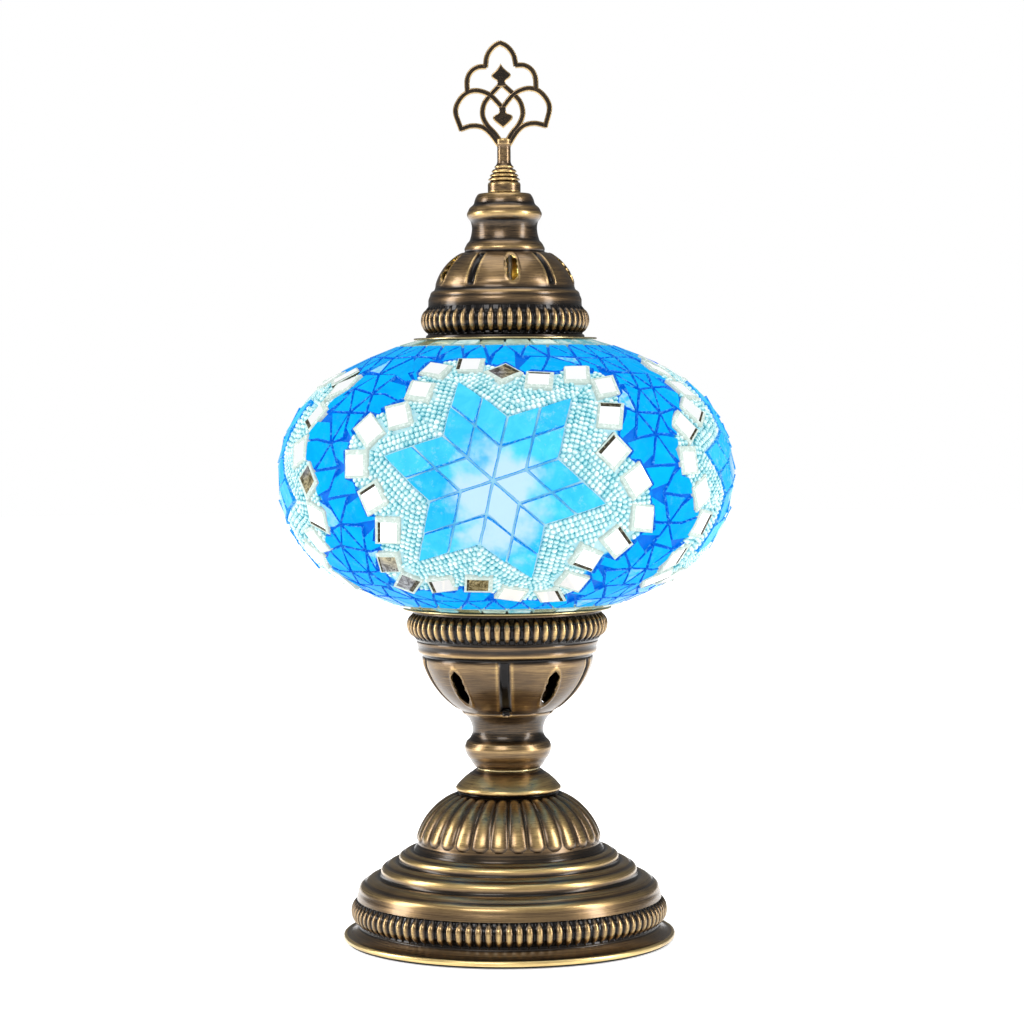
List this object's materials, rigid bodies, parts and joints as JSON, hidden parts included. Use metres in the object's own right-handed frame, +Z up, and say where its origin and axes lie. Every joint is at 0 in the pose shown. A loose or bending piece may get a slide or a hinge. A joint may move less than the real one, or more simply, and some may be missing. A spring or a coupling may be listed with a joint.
{
  "type": "mosaic glass table lamp",
  "caption": "Table lamp with an oblate mosaic glass globe of star medallions, antiqued brass cup, cap and stepped foot, and an openwork finial.",
  "frame": {"origin": "on the resting plane, at the lamp's vertical axis", "axes": "+Z up along the lamp's axis, -Y is the front, where one medallion faces, +X is to the right seen from the front"},
  "size_m": [0.1852, 0.1852, 0.3625],
  "materials": {
    "antique_brass": "antiqued brass, dark in the recesses, brushed round the turnings",
    "finial_brass": "cast brass, dark antiqued faces with bright rubbed edges",
    "bright_brass": "satin brass sheet",
    "black_rubber": "matt",
    "cast_iron": "rough cast, painted black",
    "board": "hardboard, matt brown",
    "felt": "short black felt",
    "zinc_steel": "zinc plated",
    "spring_steel": "spring steel, satin",
    "holder_plastic": "black thermoset, semi-gloss",
    "ceramic": "off-white steatite",
    "contact_brass": "bright stamped brass",
    "frosted_glass": "frosted white",
    "bulb_nickel": "nickel plated",
    "bulb_insulator": "black vitrite",
    "solder": "tin solder",
    "clear_glass": "clear blown glass with clear grout on its outer face",
    "star_glass": "turquoise cathedral glass, slightly streaky",
    "mirror_glass": "bevelled silvered mirror squares",
    "field_glass": "azure cathedral glass with deep blue edges",
    "collar_glass": "pale green glass",
    "bead_glass": "pale aqua seed beads"
  },
  "bodies": {
    "base": {"base_shell": "antique_brass", "cord_bush": "black_rubber", "ballast_disc": "cast_iron", "underside_board": "board", "felt_pad": "felt", "stem_pipe": "zinc_steel", "stem_washers": "zinc_steel", "stem_nuts": "zinc_steel", "seat_washer": "black_rubber", "lower_cup": "antique_brass", "lower_disc": "bright_brass", "globe_spring": "spring_steel", "shade_ring": "holder_plastic", "holder_cap": "holder_plastic", "holder_skirt": "holder_plastic", "holder_core": "ceramic", "screw_shell": "contact_brass", "centre_contact": "contact_brass", "terminal_screws": "zinc_steel"},
    "globe": {"globe_glass": "clear_glass", "star_tiles": "star_glass", "mirror_tiles": "mirror_glass", "field_tiles": "field_glass", "upper_collar_tiles": "collar_glass", "lower_collar_tiles": "collar_glass", "bead_band_front": "bead_glass", "bead_band_right": "bead_glass", "bead_band_back": "bead_glass", "bead_band_left": "bead_glass"},
    "cap": {"upper_disc": "bright_brass", "top_cap": "antique_brass", "cap_spring": "spring_steel", "cap_washer": "zinc_steel", "cap_nut": "zinc_steel", "cap_stud": "zinc_steel"},
    "finial": {"finial": "finial_brass"},
    "bulb": {"bulb_glass": "frosted_glass", "bulb_cap": "bulb_nickel", "bulb_insulator": "bulb_insulator", "bulb_contact": "solder"}
  },
  "joints": [
    {"name": "globe_lift", "type": "slide", "parent": "base", "child": "globe", "axis": [0, 0, 1], "range_m": [0, 0.09]},
    {"name": "cap_lift", "type": "slide", "parent": "globe", "child": "cap", "axis": [0, 0, 1], "range_m": [0, 0.06]},
    {"name": "finial_turn", "type": "hinge", "parent": "cap", "child": "finial", "pos_m": [0, 0, 0.3016], "axis": [0, 0, 1], "continuous": true},
    {"name": "bulb_turn", "type": "hinge", "parent": "base", "child": "bulb", "pos_m": [0, 0, 0.1215], "axis": [0, 0, 1], "continuous": true}
  ]
}
